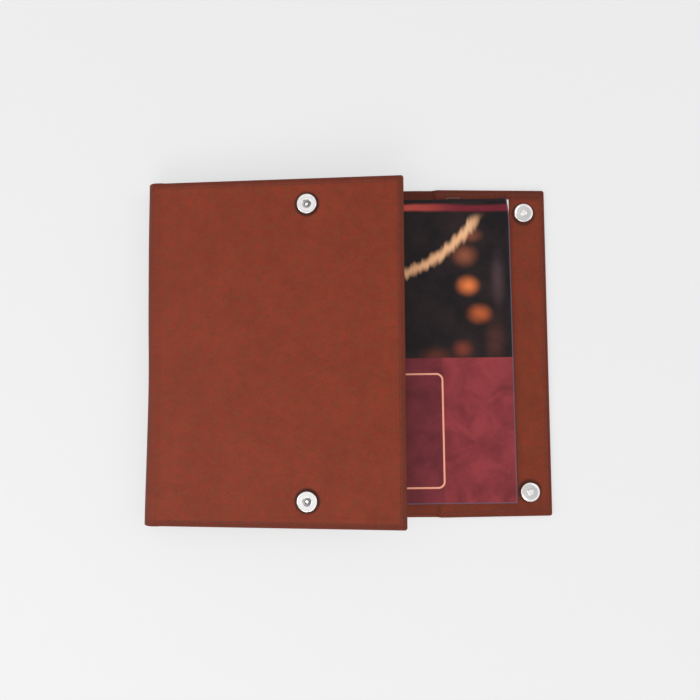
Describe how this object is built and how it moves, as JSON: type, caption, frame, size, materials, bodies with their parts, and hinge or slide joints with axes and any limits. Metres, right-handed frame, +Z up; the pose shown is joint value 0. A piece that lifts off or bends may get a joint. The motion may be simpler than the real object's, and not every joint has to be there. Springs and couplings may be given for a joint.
{
  "type": "leather notebook cover",
  "caption": "Leather notebook cover: stiff panels on a soft rounded spine, with a snap-closed flap on a soft gusset and a removable paper booklet inside.",
  "frame": {"origin": "centre of the footprint, on the surface that the back cover and the open flap rest on", "axes": "+X from the spine towards the open flap's free edge, +Y along the spine, +Z up"},
  "size_m": [0.3888, 0.3224, 0.0403],
  "materials": {
    "outer_leather": "satin",
    "lining_leather": "matte",
    "grey_board": "matte",
    "thread": "matte",
    "nickel_plate": "polished",
    "magnet": "satin",
    "printed_paper": "satin",
    "page_paper": "matte",
    "staple_wire": "satin"
  },
  "bodies": {
    "back_cover": {"back_board": "grey_board", "back_infill": "grey_board", "back_lining": "lining_leather", "back_outer_leather": "outer_leather", "back_stitching_lower": "thread", "back_stitching_upper": "thread"},
    "spine": {"spine_leather": "outer_leather", "spine_lining": "lining_leather"},
    "spine_lip": {"spine_lip_leather": "outer_leather", "spine_lip_lining": "lining_leather"},
    "front_cover": {"front_board": "grey_board", "front_infill": "grey_board", "front_lining": "lining_leather", "front_outer_leather": "outer_leather", "front_pocket": "lining_leather", "front_stitching": "thread", "socket_cap_lower": "nickel_plate", "socket_cap_upper": "nickel_plate", "socket_magnet_lower": "magnet", "socket_magnet_upper": "magnet", "socket_rivet_lower": "nickel_plate", "socket_rivet_upper": "nickel_plate", "socket_washer_lower": "nickel_plate", "socket_washer_upper": "nickel_plate"},
    "gusset": {"gusset_leather": "outer_leather", "gusset_lining": "lining_leather"},
    "flap": {"flap_board": "grey_board", "flap_infill": "grey_board", "flap_lining": "lining_leather", "flap_outer_leather": "outer_leather", "flap_stitching": "thread", "stud_disc_lower": "nickel_plate", "stud_disc_upper": "nickel_plate", "stud_post_lower": "nickel_plate", "stud_post_upper": "nickel_plate", "stud_washer_lower": "nickel_plate", "stud_washer_upper": "nickel_plate"},
    "booklet": {"booklet_cover": "printed_paper", "booklet_pages": "page_paper", "staple_left": "staple_wire", "staple_right": "staple_wire"}
  },
  "joints": [
    {"name": "cover_open", "type": "hinge", "parent": "back_cover", "child": "spine", "pos_m": [-0.1932, 0, 0.00115], "axis": [0, -1, 0], "range_deg": [0, 87.5]},
    {"name": "spine_bend", "type": "hinge", "parent": "spine", "child": "spine_lip", "pos_m": [-0.1932, 0, 0.02245], "axis": [0, -1, 0], "range_deg": [0, 87.5]},
    {"name": "front_press", "type": "hinge", "parent": "spine_lip", "child": "front_cover", "pos_m": [-0.18235, 0, 0.02245], "axis": [0, 1, 0], "range_deg": [0, 4]},
    {"name": "flap_close", "type": "hinge", "parent": "back_cover", "child": "gusset", "pos_m": [0.05205, 0, 0.00115], "axis": [0, -1, 0], "range_deg": [0, 90], "deforming": ["booklet_cover", "booklet_pages", "staple_left", "staple_right"]},
    {"name": "flap_bend", "type": "hinge", "parent": "gusset", "child": "flap", "pos_m": [0.08145, 0, 0.00115], "axis": [0, -1, 0], "range_deg": [0, 90]},
    {"name": "booklet_slide", "type": "slide", "parent": "back_cover", "child": "booklet", "axis": [-1, 0, 0], "range_m": [0, 0.112]}
  ],
  "couplings": [
    {"joint": "spine_bend", "follows": "cover_open", "ratio": 1},
    {"joint": "front_press", "follows": "flap_close", "ratio": 0.0444},
    {"joint": "flap_bend", "follows": "flap_close", "ratio": 1},
    {"joint": "booklet_slide", "follows": "flap_close", "m_per_rad": 0.0713}
  ]
}
